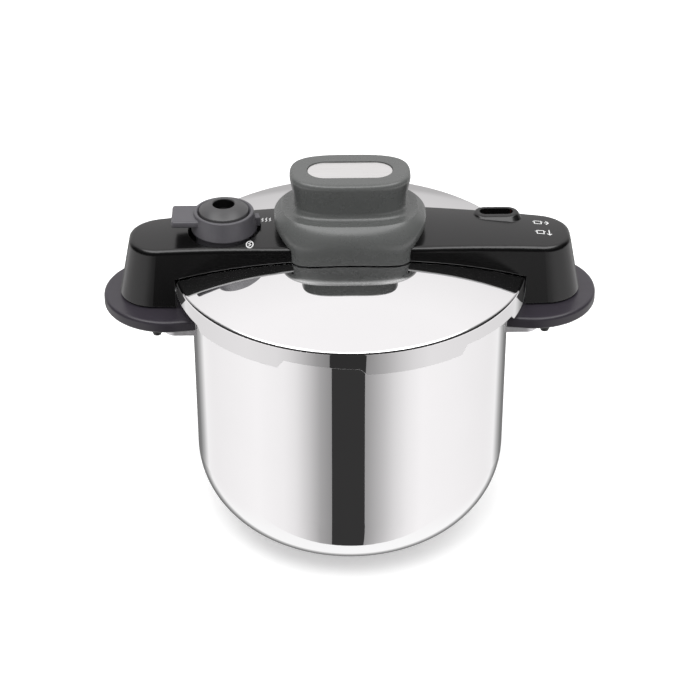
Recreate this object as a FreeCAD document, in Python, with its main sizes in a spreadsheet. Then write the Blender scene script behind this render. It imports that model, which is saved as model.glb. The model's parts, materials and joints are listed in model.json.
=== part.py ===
"""Bayonet pressure cooker: steel pot, domed steel lid, plastic bridge bar, knob, valves.

Millimetres. The origin is the centre of the resting face, +Z is up, +X runs along the
bridge bar towards the pressure indicator, and -Y is the front. The model is the closed
and locked cooker.
"""
import FreeCAD, Part
import math
import os
import Sketcher

Vector = FreeCAD.Vector
Placement = FreeCAD.Placement
Rotation = FreeCAD.Rotation
UP = Vector(0, 0, 1)

doc = FreeCAD.newDocument("PressureCooker")

# ----------------------------------------------------------------------------
# Driving dimensions
# ----------------------------------------------------------------------------
DIMENSIONS = {
    # pot
    "pot_radius": 111.5,
    "pot_wall": 1.5,
    "pot_rounding": 58.0,
    "base_height": 5.0,
    "base_radius": 68.0,
    "base_skin": 1.0,
    "rim_height": 197.0,
    "bead_radius": 113.5,
    "bead_height": 2.6,
    "bayonet_count": 6.0,
    "bayonet_angle": -70.0,
    "pot_lug_radius": 120.0,
    "pot_lug_low": 191.0,
    "pot_lug_high": 193.3,
    "pot_lug_width": 24.0,
    # lid
    "lid_radius": 123.4,
    "lid_wall": 1.5,
    "crease_height": 204.8,
    "dome_rise": 18.7,
    "crease_rounding": 2.4,
    "skirt_low": 188.0,
    "skirt_gap_left": 194.5,
    "skirt_gap_right": 192.5,
    "skirt_gap_half": 25.5,
    "skirt_gap_slope": 4.5,
    "lid_lug_radius": 114.0,
    "lid_lug_thick": 1.5,
    "lid_lug_width": 22.0,
    # silicone ring
    "seal_inner": 107.0,
    "seal_outer": 121.4,
    "seal_gap": 0.35,
    "seal_lip": 1.8,
    # bridge bar
    "bar_half_length": 150.0,
    "bar_foot_half_length": 161.0,
    "bar_half_width": 31.4,
    "bar_end_half_width": 21.9,
    "bar_foot_half_width": 32.0,
    "bar_foot_end_half_width": 26.8,
    "bar_straight": 46.0,
    "bar_corner": 20.0,
    "bar_foot_corner": 25.0,
    "bar_flow": 300.0,
    "bar_top": 233.6,
    "bar_arch": 1500.0,
    "bar_crown": 197.0,
    "bar_low": 184.8,
    "bar_edge_rounding": 4.0,
    "bar_wall": 2.5,
    "bar_lid_gap": 0.8,
    "tray_thick": 2.6,
    "tray_fit": 0.15,
    # knob
    "knob_apron_crest": 248.4,
    "knob_top": 275.3,
    "knob_grip_half_length": 41.8,
    "knob_grip_half_width": 25.5,
    "knob_inlay_half_length": 29.2,
    "knob_inlay_radius": 12.1,
    "knob_inlay_top": 274.7,
    "knob_inlay_thick": 1.4,
    "knob_gap": 0.3,
    # operating valve
    "valve_x": -87.0,
    "valve_well": 25.3,
    "valve_well_wall": 2.0,
    "valve_low": 222.4,
    "valve_ring_radius": 23.0,
    "valve_ring_top_radius": 20.6,
    "valve_ring_bore": 17.3,
    "valve_ring_top": 244.8,
    "valve_cap_radius": 17.0,
    "valve_cap_top": 250.2,
    "valve_hole_radius": 7.5,
    "valve_chamber": 12.0,
    "valve_throat": 2.6,
    "duct_radius": 4.5,
    "duct_top": 226.0,
    "duct_hole_radius": 4.6,
    "lever_reach": 36.0,
    "lever_width": 25.5,
    "lever_low": 237.6,
    "lever_high": 242.7,
    "pointer_angle": 12.0,
    "pointer_reach": 24.8,
    "pointer_low": 231.6,
    "pointer_high": 238.0,
    "valve_neck_radius": 20.2,
    "valve_skirt_low": 230.6,
    # pressure indicator
    "indicator_x": 97.0,
    "indicator_y": 18.5,
    "indicator_bore": 2.6,
    "indicator_travel": 5.0,
    "indicator_hole_radius": 4.6,
    "indicator_flange_radius": 6.3,
    "window_x": 103.0,
    "window_length": 23.5,
    "window_width": 8.6,
    "window_lip": 3.2,
    "window_lip_rise": 2.0,
    # safety valve
    "safety_x": 72.0,
    "safety_y": -8.0,
    "safety_bore": 3.2,
    "safety_travel": 2.0,
    "safety_hole_radius": 5.1,
    "safety_flange_radius": 8.0,
    # pot handles
    "handle_tip": 173.0,
    "handle_half_width": 53.4,
    "handle_root_half_width": 44.5,
    "handle_low": 174.2,
    "handle_high": 183.0,
    "handle_corner": 46.0,
    "handle_edge_rounding": 2.4,
    "handle_root": 107.2,
    "handle_wall_gap": 0.3,
    "bracket_reach": 129.5,
    "bracket_half_width": 41.0,
    "bracket_sheet": 1.5,
    "bracket_low": 169.0,
    "bracket_root": 106.4,
    "bracket_weld_low": 158.0,
    "bracket_weld_half_width": 20.0,
    "screw_radius": 2.5,
    "screw_x": 120.0,
    "screw_y": 22.0,
    "peg_x": 134.0,
    "peg_y": 40.0,
    "peg_radius": 4.0,
    "peg_low": 170.4,
}

dims = doc.addObject("Spreadsheet::Sheet", "dims")
for row, (alias, number) in enumerate(DIMENSIONS.items(), start=1):
    dims.set(f"A{row}", alias)
    dims.set(f"B{row}", str(number))
    dims.setAlias(f"B{row}", alias)
doc.recompute()


class Dim:
    """A length that carries its number and its formula over the sheet."""

    def __init__(self, value, formula):
        self.value = float(value)
        self.formula = formula

    @staticmethod
    def of(thing):
        if isinstance(thing, Dim):
            return thing
        return Dim(thing, f"({float(thing)})")

    def __add__(self, other):
        other = Dim.of(other)
        return Dim(self.value + other.value, f"({self.formula} + {other.formula})")

    def __sub__(self, other):
        other = Dim.of(other)
        return Dim(self.value - other.value, f"({self.formula} - {other.formula})")

    def __mul__(self, other):
        other = Dim.of(other)
        return Dim(self.value * other.value, f"({self.formula} * {other.formula})")

    def __neg__(self):
        return self * -1


def dim(alias):
    """The sheet's cell of that name, as a Dim."""
    return Dim(getattr(dims, alias), f"dims.{alias}")


def num(alias):
    """The sheet's cell of that name, as a plain number."""
    return float(getattr(dims, alias))


# ----------------------------------------------------------------------------
# Helpers for PartDesign bodies
# ----------------------------------------------------------------------------
SUBPARTS = []


def new_body(label):
    body = doc.addObject("PartDesign::Body", label)
    body.Label = label
    SUBPARTS.append(body)
    return body


def origin_feature(body, role):
    return next(item for item in body.Origin.OriginFeatures if item.Role == role)


def new_sketch(body, name, plane="XZ_Plane", turn=0.0, height=None):
    """A sketch on one of the body's origin planes, turned about Z or lifted along it."""
    sketch = body.newObject("Sketcher::SketchObject", name)
    sketch.AttachmentSupport = [(origin_feature(body, plane), "")]
    sketch.MapMode = "FlatFace"
    if turn:
        sketch.AttachmentOffset = Placement(Vector(), Rotation(Vector(0, 1, 0), turn))
    if height is not None:
        sketch.AttachmentOffset = Placement(Vector(0, 0, height.value), Rotation())
        sketch.setExpression("AttachmentOffset.Base.z", height.formula)
    return sketch


def arc_between(start, end, radius):
    """The minor arc from start to end; a positive radius turns counter-clockwise."""
    chord = end - start
    size = abs(radius)
    rise = math.sqrt(size * size - chord.Length ** 2 / 4)
    left = Vector(-chord.y, chord.x, 0).normalize()
    side = 1 if radius > 0 else -1
    centre = (start + end) / 2 + left * rise * side
    circle = Part.Circle(centre, UP, size)
    first, last = (start, end) if radius > 0 else (end, start)
    return Part.ArcOfCircle(circle, circle.parameter(first), circle.parameter(last))


def draw_outline(sketch, corners):
    """Closed outline. A corner is (x, y) or (x, y, radius) for an arc arriving at it."""
    corners = [tuple(Dim.of(item) for item in corner) for corner in corners]
    points = [Vector(corner[0].value, corner[1].value, 0) for corner in corners]
    starts = []
    for index, corner in enumerate(corners):
        before, here = points[index - 1], points[index]
        if len(corner) == 3:
            edge = sketch.addGeometry(arc_between(before, here, corner[2].value), False)
            radius = sketch.addConstraint(
                Sketcher.Constraint("Radius", edge, abs(corner[2].value)))
            sketch.setExpression(f"Constraints[{radius}]", f"abs({corner[2].formula})")
            forward = corner[2].value > 0
        else:
            edge = sketch.addGeometry(Part.LineSegment(before, here), False)
            forward = True
        starts.append((edge, 1 if forward else 2, 2 if forward else 1))
    for index, corner in enumerate(corners):
        edge, _, end = starts[index]
        following, start, _ = starts[(index + 1) % len(corners)]
        sketch.addConstraint(Sketcher.Constraint("Coincident", edge, end, following, start))
        for kind, place in (("DistanceX", corner[0]), ("DistanceY", corner[1])):
            if abs(place.value) < 1e-9:
                axis = -2 if kind == "DistanceX" else -1
                sketch.addConstraint(Sketcher.Constraint("PointOnObject", edge, end, axis))
                continue
            if place.value > 0:
                ends = (-1, 1, edge, end)
                formula = place.formula
            else:
                ends = (edge, end, -1, 1)
                formula = f"-{place.formula}"
            added = sketch.addConstraint(Sketcher.Constraint(kind, *ends, abs(place.value)))
            sketch.setExpression(f"Constraints[{added}]", formula)


def draw_circle(sketch, x, y, radius):
    x, y, radius = Dim.of(x), Dim.of(y), Dim.of(radius)
    centre = Vector(x.value, y.value, 0)
    edge = sketch.addGeometry(Part.Circle(centre, UP, radius.value), False)
    size = sketch.addConstraint(Sketcher.Constraint("Radius", edge, radius.value))
    sketch.setExpression(f"Constraints[{size}]", radius.formula)
    for kind, place in (("DistanceX", x), ("DistanceY", y)):
        if abs(place.value) < 1e-9:
            axis = -2 if kind == "DistanceX" else -1
            sketch.addConstraint(Sketcher.Constraint("PointOnObject", edge, 3, axis))
            continue
        ends = (-1, 1, edge, 3) if place.value > 0 else (edge, 3, -1, 1)
        added = sketch.addConstraint(Sketcher.Constraint(kind, *ends, abs(place.value)))
        formula = place.formula if place.value > 0 else f"-{place.formula}"
        sketch.setExpression(f"Constraints[{added}]", formula)


def revolve(body, sketch, name, angle=None):
    """Turn a section about the body's Z axis, fully or by an angle centred on it."""
    feature = body.newObject("PartDesign::Revolution", name)
    feature.Profile = sketch
    feature.ReferenceAxis = (sketch, ["V_Axis"])
    if angle is not None:
        feature.Angle = angle.value
        feature.setExpression("Angle", angle.formula)
        feature.Midplane = True
    body.Tip = feature
    return feature


def pocket_through(body, sketch, name):
    """Cut the sketch through everything on the far side of its plane."""
    feature = body.newObject("PartDesign::Pocket", name)
    feature.Profile = sketch
    feature.Type = "ThroughAll"
    feature.Reversed = True
    body.Tip = feature
    return feature


def ring_pattern(body, feature, name, count):
    """Repeat a feature about the body's Z axis."""
    pattern = body.newObject("PartDesign::PolarPattern", name)
    pattern.Originals = [feature]
    pattern.Axis = (origin_feature(body, "Z_Axis"), [""])
    pattern.Angle = 360
    pattern.Occurrences = int(count.value)
    pattern.setExpression("Occurrences", count.formula)
    body.Tip = pattern
    return pattern


def place_at(body, x, y):
    """Move a finished body to its place in plan, bound to the sheet."""
    x, y = Dim.of(x), Dim.of(y)
    body.Placement = Placement(Vector(x.value, y.value, 0), Rotation())
    body.setExpression("Placement.Base.x", x.formula)
    body.setExpression("Placement.Base.y", y.formula)


def turned_part(label, corners, x=0, y=0):
    """A body that is one closed section turned about its own axis."""
    body = new_body(label)
    sketch = new_sketch(body, f"{label}_section")
    draw_outline(sketch, corners)
    revolve(body, sketch, f"{label}_turned")
    place_at(body, x, y)
    return body


def feature_part(label, shape, placement=Placement()):
    """A sub-part whose shape comes from Part's own functions."""
    part = doc.addObject("Part::Feature", label)
    part.Label = label
    part.Shape = shape
    part.Placement = placement
    SUBPARTS.append(part)
    return part


# ----------------------------------------------------------------------------
# Helpers for solids
# ----------------------------------------------------------------------------
def cylinder(radius, low, high, x=0.0, y=0.0):
    return Part.makeCylinder(radius, high - low, Vector(x, y, low), UP)


def block(x_low, x_high, y_low, y_high, z_low, z_high):
    corner = Vector(x_low, y_low, z_low)
    return Part.makeBox(x_high - x_low, y_high - y_low, z_high - z_low, corner)


def hexagon(flats, low, high, x=0.0, y=0.0):
    reach = flats / math.sqrt(3)
    angles = [math.radians(60 * step) for step in range(7)]
    corners = [Vector(x + reach * math.cos(a), y + reach * math.sin(a), low) for a in angles]
    return Part.Face(Part.makePolygon(corners)).extrude(Vector(0, 0, high - low))


def rounded_polygon(corners, height):
    """Closed flat wire; each corner is (x, y, rounding radius)."""
    edges = []
    cut_points = []
    count = len(corners)
    for index in range(count):
        x, y, radius = corners[index]
        here = Vector(x, y, height)
        to_before = (Vector(*corners[index - 1][:2], height) - here).normalize()
        to_after = (Vector(*corners[(index + 1) % count][:2], height) - here).normalize()
        half = to_before.getAngle(to_after) / 2
        set_back = radius / math.tan(half)
        middle = (to_before + to_after).normalize()
        apex = here + middle * (radius / math.sin(half) - radius)
        cut_points.append((here + to_before * set_back, apex, here + to_after * set_back))
    for index in range(count):
        first, apex, last = cut_points[index]
        following = cut_points[(index + 1) % count][0]
        if corners[index][2] > 0:
            edges.append(Part.Arc(first, apex, last).toShape())
        edges.append(Part.LineSegment(last, following).toShape())
    return Part.Wire(edges)


def stadium(half_length, radius, low, high, x=0.0, y=0.0):
    """An upright slot shape, long side along X."""
    straight = half_length - radius
    middle = block(x - straight, x + straight, y - radius, y + radius, low, high)
    caps = [cylinder(radius, low, high, x + side * straight, y) for side in (-1, 1)]
    return middle.multiFuse(caps).removeSplitter()


def superellipse(half_x, half_y, power, height):
    """A smooth closed wire between an ellipse and a rectangle, its knots evenly spaced."""
    knots, samples = 48, 2880
    outline = []
    for step in range(samples + 1):
        angle = 2 * math.pi * step / samples
        c, s = math.cos(angle), math.sin(angle)
        outline.append(Vector(half_x * math.copysign(abs(c) ** (2 / power), c),
                              half_y * math.copysign(abs(s) ** (2 / power), s), height))
    travelled = [0.0]
    for before, after in zip(outline, outline[1:]):
        travelled.append(travelled[-1] + before.distanceToPoint(after))
    points = []
    for knot in range(knots):
        goal = travelled[-1] * knot / knots
        points.append(next(point for point, way in zip(outline, travelled) if way >= goal))
    curve = Part.BSplineCurve()
    even = [float(knot) for knot in range(knots + 1)]
    curve.interpolate(Points=points, PeriodicFlag=True, Parameters=even)
    return Part.Wire([curve.toShape()])


def largest_solid(shape):
    return max(shape.Solids, key=lambda solid: solid.Volume)


def edges_at_top(shape, level):
    """Edges whose whole length lies near or above a level and that aren't vertical."""
    found = []
    for edge in shape.Edges:
        box = edge.BoundBox
        if box.ZMin > level and box.ZLength < box.DiagonalLength * 0.5:
            found.append(edge)
    return found


# ----------------------------------------------------------------------------
# Shared geometry of the lid: a shallow dome on a straight skirt
# ----------------------------------------------------------------------------
lid_radius = num("lid_radius")
dome_rise = num("dome_rise")
dome_radius = (lid_radius ** 2 + dome_rise ** 2) / (2 * dome_rise)
apex = num("crease_height") + dome_rise
dome_centre = apex - dome_radius


def dome_height(distance, offset=0.0):
    """Height of the dome's outer face, or of a face offset from it, at a radius."""
    return dome_centre + math.sqrt((dome_radius + offset) ** 2 - distance ** 2)


def under_dome(offset, low, radius):
    """The solid below a face offset from the dome, inside a cylinder."""
    ball = Part.makeSphere(dome_radius + offset, Vector(0, 0, dome_centre))
    return ball.common(cylinder(radius, low, apex + 10))


# ----------------------------------------------------------------------------
# Pot: deep-drawn vessel, sandwich base
# ----------------------------------------------------------------------------
def make_pot_vessel():
    outer, wall = dim("pot_radius"), dim("pot_wall")
    rounding, floor = dim("pot_rounding"), dim("base_height")
    reach = math.sqrt(num("pot_rounding") ** 2 - (num("pot_rounding") - num("base_height")) ** 2)
    inner_rounding = num("pot_rounding") - num("pot_wall")
    inner_drop = num("pot_rounding") - num("base_height") - num("pot_wall")
    inner_reach = math.sqrt(inner_rounding ** 2 - inner_drop ** 2)
    rim, bead, bead_height = dim("rim_height"), dim("bead_radius"), dim("bead_height")
    body = new_body("pot_vessel")
    section = new_sketch(body, "pot_section")
    draw_outline(section, [
        (0, floor),
        (outer - rounding + reach, floor),
        (outer, rounding, rounding),
        (outer, rim - bead_height),
        (bead, rim - bead_height + 0.6),
        (bead, rim - 0.8),
        (bead - 0.8, rim, 0.8),
        (outer - wall, rim),
        (outer - wall, rounding),
        (outer - rounding + inner_reach, floor + wall, -(rounding - wall)),
        (0, floor + wall),
    ])
    revolve(body, section, "pot_drawn")
    lug_section = new_sketch(body, "pot_lug_section", turn=num("bayonet_angle"))
    draw_outline(lug_section, [
        (outer - 0.5, dim("pot_lug_low")),
        (dim("pot_lug_radius"), dim("pot_lug_low")),
        (dim("pot_lug_radius"), dim("pot_lug_high")),
        (outer - 0.5, dim("pot_lug_high")),
    ])
    lug = revolve(body, lug_section, "pot_lug", dim("pot_lug_width"))
    ring_pattern(body, lug, "pot_lugs", dim("bayonet_count"))
    return body


def make_base():
    """Aluminium heat spreader closed in by a pressed steel cup."""
    radius, skin, height = dim("base_radius"), dim("base_skin"), dim("base_height")
    turned_part("base_core", [
        (0, skin), (radius - skin - 1.2, skin), (radius - skin, skin + 1.2, 1.2),
        (radius - skin, height), (0, height)])
    turned_part("base_plate", [
        (0, 0), (radius - 2.2, 0), (radius, 2.2, 2.2), (radius, height),
        (radius - skin, height), (radius - skin, skin + 1.2),
        (radius - skin - 1.2, skin, -1.2), (0, skin)])


# ----------------------------------------------------------------------------
# Side handles on the pot
# ----------------------------------------------------------------------------
def on_side(shape, side):
    """The shape as drawn on +X, or turned half round for the other side."""
    if side > 0:
        return shape
    turned = shape.copy()
    turned.rotate(Vector(), UP, 180)
    return turned


THREAD_FIT = 0.05
SCREW_COVER = 2.0
SCREW_HEAD_RADIUS = 4.6
SCREW_HEAD_HIGH = 3.0
DRIVE_FLATS = 3.0
DRIVE_DEEP = 1.6
PEG_SOCKET_RADIUS = num("peg_radius") - 1.5
PEG_COVER = 4.0


def handle_plate_shape():
    tip, half, root_half = num("handle_tip"), num("handle_half_width"), num("handle_root_half_width")
    corner, low, high = num("handle_corner"), num("handle_low"), num("handle_high")
    root = num("handle_root")
    outline = rounded_polygon([
        (root, -root_half, 0), (tip, -half, corner), (tip, half, corner), (root, root_half, 0)], low)
    plate = Part.Face(outline).extrude(Vector(0, 0, high - low))
    rim = [edge for edge in plate.Edges
           if edge.BoundBox.ZLength < 0.01 and edge.BoundBox.XMax > root + 1]
    plate = plate.makeFillet(num("handle_edge_rounding"), rim)
    plate = plate.cut(cylinder(num("pot_radius") + num("handle_wall_gap"), low - 1, high + 1))
    pilot = num("screw_radius") + THREAD_FIT
    for y in (-num("screw_y"), num("screw_y")):
        plate = plate.cut(cylinder(pilot, low - 1, high - SCREW_COVER, num("screw_x"), y))
    for y in (-num("peg_y"), num("peg_y")):
        plate = plate.cut(cylinder(PEG_SOCKET_RADIUS, low - 1, high - PEG_COVER, num("peg_x"), y))
    return plate


def bracket_shape():
    """Pressed bracket: a tongue with turned-down edges, and a saddle welded to the wall."""
    reach, half, sheet = num("bracket_reach"), num("bracket_half_width"), num("bracket_sheet")
    low, high, wall = num("bracket_low"), num("handle_low"), num("pot_radius")
    root, corner = num("bracket_root"), 8.0
    tongue = Part.Face(rounded_polygon([
        (root, -half, 0), (reach, -half, corner), (reach, half, corner), (root, half, 0)], low))
    hollow = Part.Face(rounded_polygon([
        (root, sheet - half, 0), (reach - sheet, sheet - half, corner - sheet),
        (reach - sheet, half - sheet, corner - sheet), (root, half - sheet, 0)], low - 1))
    tongue = tongue.extrude(Vector(0, 0, high - low))
    tongue = tongue.cut(hollow.extrude(Vector(0, 0, high - low + 1 - sheet)))
    weld_half = num("bracket_weld_half_width")
    saddle = cylinder(wall + sheet, num("bracket_weld_low"), high)
    saddle = saddle.common(block(0, wall + 5, -weld_half, weld_half, 0, high))
    bracket = tongue.fuse(saddle).cut(cylinder(wall, 0, high + 1)).removeSplitter()
    for y in (-num("screw_y"), num("screw_y")):
        clearance = cylinder(num("screw_radius") + 0.2, low, high + 1, num("screw_x"), y)
        bracket = bracket.cut(clearance)
    return bracket


def screw_shape(y):
    """Hexagon-socket screw from below, through the bracket into the handle."""
    x, radius = num("screw_x"), num("screw_radius")
    seat = num("handle_low") - num("bracket_sheet")
    foot = seat - SCREW_HEAD_HIGH
    head = cylinder(SCREW_HEAD_RADIUS, foot, seat, x, y)
    drive = hexagon(DRIVE_FLATS, foot - 1, foot + DRIVE_DEEP, x, y)
    shank = cylinder(radius, seat - 0.5, num("handle_high") - SCREW_COVER - 0.2, x, y)
    return head.fuse(shank).cut(drive)


def peg_shape(y):
    """Plastic rest peg pushed into the underside of the handle."""
    x, radius, low, seat = num("peg_x"), num("peg_radius"), num("peg_low"), num("handle_low")
    foot = Part.makeCone(radius - 1.2, radius, seat - low, Vector(x, y, low), UP)
    top = num("handle_high") - PEG_COVER - 0.2
    return foot.fuse(cylinder(PEG_SOCKET_RADIUS - THREAD_FIT, seat - 0.5, top, x, y))


def make_pot_handles():
    for angle, name in ((180, "left"), (0, "right")):
        side_turn = Placement(Vector(), Rotation(UP, angle))
        feature_part(f"handle_bracket_{name}", bracket_shape(), side_turn)
        feature_part(f"pot_handle_{name}", handle_plate_shape(), side_turn)
    spots = [(side, y) for side in (-1, 1) for y in (-1, 1)]
    screws = [on_side(screw_shape(y * num("screw_y")), side) for side, y in spots]
    feature_part("handle_screws", Part.makeCompound(screws))
    pegs = [on_side(peg_shape(y * num("peg_y")), side) for side, y in spots]
    feature_part("handle_pegs", Part.makeCompound(pegs))


# ----------------------------------------------------------------------------
# Lid and its silicone ring
# ----------------------------------------------------------------------------
def make_lid_shell():
    radius, wall, low = dim("lid_radius"), dim("lid_wall"), dim("skirt_low")
    crease = dim("crease_height")
    inner_crease = dome_height(num("lid_radius") - num("lid_wall"), -num("lid_wall"))
    body = new_body("lid_shell")
    section = new_sketch(body, "lid_section")
    draw_outline(section, [
        (0, crease + dim("dome_rise")),
        (radius, crease, -dome_radius),
        (radius, low),
        (radius - wall, low),
        (radius - wall, inner_crease),
        (0, crease + dim("dome_rise") - wall, dome_radius - num("lid_wall")),
    ])
    shell = revolve(body, section, "lid_drawn")
    doc.recompute()
    rounding = body.newObject("PartDesign::Fillet", "lid_crease")
    names = []
    for index, edge in enumerate(shell.Shape.Edges, start=1):
        box = edge.BoundBox
        on_rim = abs(box.ZMin - num("crease_height")) < 0.01 and box.ZLength < 0.01
        if on_rim and abs(box.XMax - num("lid_radius")) < 0.01:
            names.append(f"Edge{index}")
    rounding.Base = (shell, names)
    rounding.Radius = num("crease_rounding")
    rounding.setExpression("Radius", "dims.crease_rounding")
    body.Tip = rounding

    half, slope = dim("skirt_gap_half"), dim("skirt_gap_slope")
    gap_angle = num("bayonet_angle") - 30 + 90
    gap = new_sketch(body, "skirt_gap", turn=gap_angle)
    draw_outline(gap, [
        (-half - slope, low - 2),
        (half + slope, low - 2),
        (half + slope, low),
        (half, dim("skirt_gap_right")),
        (-half, dim("skirt_gap_left")),
        (-half - slope, low),
    ])
    gap_cut = pocket_through(body, gap, "skirt_gap_cut")
    ring_pattern(body, gap_cut, "skirt_gaps", dim("bayonet_count"))

    lug_section = new_sketch(body, "lid_lug_section", turn=num("bayonet_angle"))
    draw_outline(lug_section, [
        (dim("lid_lug_radius"), low),
        (radius - 0.5, low),
        (radius - 0.5, low + dim("lid_lug_thick")),
        (dim("lid_lug_radius"), low + dim("lid_lug_thick")),
    ])
    lug = revolve(body, lug_section, "lid_lug", dim("lid_lug_width"))
    ring_pattern(body, lug, "lid_lugs", dim("bayonet_count"))

    holes = new_sketch(body, "lid_holes", plane="XY_Plane")
    draw_circle(holes, dim("valve_x"), 0, dim("duct_hole_radius"))
    draw_circle(holes, dim("indicator_x"), dim("indicator_y"), dim("indicator_hole_radius"))
    draw_circle(holes, dim("safety_x"), dim("safety_y"), dim("safety_hole_radius"))
    pocket_through(body, holes, "lid_holes_cut")
    return body


def make_lid_seal():
    """Silicone ring with a lip against the lid and a lip against the pot's rim."""
    inner, outer, lip, gap = num("seal_inner"), num("seal_outer"), num("seal_lip"), num("seal_gap")
    low = dim("rim_height") + dim("seal_gap")
    lid_face = -num("lid_wall") - gap
    outer_top = dome_height(outer, lid_face)
    inner_top = dome_height(inner + 1, lid_face)
    turned_part("lid_seal", [
        (dim("seal_inner"), low),
        (dim("seal_outer"), low),
        (dim("seal_outer"), outer_top),
        (dim("seal_inner") + 1, inner_top),
        (dim("seal_inner"), inner_top - lip),
        (dim("seal_outer") - 4.8, outer_top - 0.6),
        (dim("seal_outer") - 4.8, low + lip + 0.4),
        (dim("seal_inner"), low + lip),
    ])


# ----------------------------------------------------------------------------
# Bridge bar over the lid
# ----------------------------------------------------------------------------
ABOVE_BAR = num("bar_top") + 6.0
UNDER_BAR = 205.0
STUD_PLACES = (-36.0, 36.0)
STUD_RADIUS = 2.5
STUD_HOLE_RADIUS = 2.7
DUCT_ROOM_RADIUS = 9.6
INDICATOR_ROOM_RADIUS = 6.0
SAFETY_ROOM_RADIUS = 10.2
KNOB_STUD_RADIUS = 3.0
KNOB_STUD_HOLE_RADIUS = 3.3
SEAT_GAP = 0.15


def bar_outline(half_length, half_width, end_half_width, corner, level):
    """Plan outline of the bar: parallel in the middle, narrower to rounded ends."""
    straight = num("bar_straight")
    quarter = [(straight, half_width, num("bar_flow")), (half_length, end_half_width, corner)]
    outline = [(x, -y, radius) for x, y, radius in quarter]
    outline += [(x, y, radius) for x, y, radius in reversed(quarter)]
    outline += [(-x, y, radius) for x, y, radius in quarter]
    outline += [(-x, -y, radius) for x, y, radius in reversed(quarter)]
    return rounded_polygon(outline, level)


def crowned_barrel(crown):
    """Solid whose top is arched along the bar and crowned across it."""
    half, low, sweep = 60.0, num("bar_low") - 5, 16.0
    edge = crown - half * half / (2 * num("bar_crown"))
    over = Part.Arc(Vector(0, -half, edge), Vector(0, 0, crown), Vector(0, half, edge)).toShape()
    under = Part.makePolygon([Vector(0, half, edge), Vector(0, half, low), Vector(0, -half, low),
                              Vector(0, -half, edge)])
    section = Part.Face(Part.Wire([over] + under.Edges))
    centre, axis = Vector(0, 0, crown - num("bar_arch")), Vector(0, 1, 0)
    section.rotate(centre, axis, -sweep / 2)
    return section.revolve(centre, axis, sweep)


def bar_prism(inset):
    """The drafted sides of the bar, smaller all round by an inset, up past its top."""
    foot = bar_outline(num("bar_foot_half_length") - inset, num("bar_foot_half_width") - inset,
                       num("bar_foot_end_half_width") - inset,
                       num("bar_foot_corner") - inset, num("bar_low"))
    top = bar_outline(num("bar_half_length") - inset, num("bar_half_width") - inset,
                      num("bar_end_half_width") - inset, num("bar_corner") - inset, ABOVE_BAR)
    return Part.makeLoft([foot, top], True, True)


def bar_solid(inset):
    """The drafted block of the bar under its crowned top, smaller all round by an inset."""
    return bar_prism(inset).common(crowned_barrel(num("bar_top") - inset))


def arch_height(x):
    """Height of the bar's top along its middle."""
    return num("bar_top") - x * x / (2 * num("bar_arch"))


def window_shape(grow, low, high):
    """Upright stadium round the indicator's window, grown by a margin."""
    half = num("window_length") / 2 + grow
    radius = num("window_width") / 2 + grow
    return stadium(half, radius, low, high, num("window_x"), num("indicator_y"))


def window_hood(high):
    """Raised lip round the window: a low hill that runs out towards the front."""
    foot_level = high - num("window_lip_rise") - 5
    foot_spread, foot_shift = 5.0, 3.0
    foot = window_shape(num("window_lip") + foot_spread, foot_level, foot_level + 1)
    foot.translate(Vector(0, -foot_shift, 0))
    crest = window_shape(num("window_lip"), high - 1, high)
    foot_wire = min(foot.Faces, key=lambda face: face.CenterOfMass.z).OuterWire
    crest_wire = max(crest.Faces, key=lambda face: face.CenterOfMass.z).OuterWire
    hood = Part.makeLoft([foot_wire, crest_wire], True, True)
    rim = [edge for edge in hood.Edges if edge.BoundBox.ZMin > high - 0.01]
    return hood.makeFillet(2.0, rim).common(bar_prism(1.0))


def make_bridge_cover():
    gap, wall = num("bar_lid_gap"), num("bar_wall")
    outer = bar_solid(0.0)
    outer = outer.makeFillet(num("bar_edge_rounding"), edges_at_top(outer, 219.0))
    hood = window_hood(arch_height(num("window_x")) + num("window_lip_rise"))
    lid_space = under_dome(gap, num("bar_low") - 1, lid_radius + gap)
    cover = outer.fuse(hood).cut(bar_solid(wall))
    well_x, well = num("valve_x"), num("valve_well")
    ledge = under_dome(gap + num("tray_thick") + num("tray_fit"), 150, lid_radius + 30)
    tube = cylinder(well + num("valve_well_wall"), UNDER_BAR, ABOVE_BAR, well_x).common(outer)
    chimney = window_shape(1.6, UNDER_BAR, ABOVE_BAR).common(outer)
    cover = cover.fuse(tube.cut(ledge)).fuse(chimney.cut(ledge))
    cover = cover.cut(cylinder(well, UNDER_BAR, ABOVE_BAR, well_x))
    cover = cover.cut(window_shape(0.0, UNDER_BAR, ABOVE_BAR)).cut(lid_space)
    for x in STUD_PLACES:
        cover = cover.cut(cylinder(STUD_HOLE_RADIUS, UNDER_BAR, ABOVE_BAR, x))
    cover = cover.cut(cylinder(KNOB_STUD_HOLE_RADIUS, UNDER_BAR, ABOVE_BAR))
    feature_part("bridge_cover", largest_solid(cover.removeSplitter()))


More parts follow.
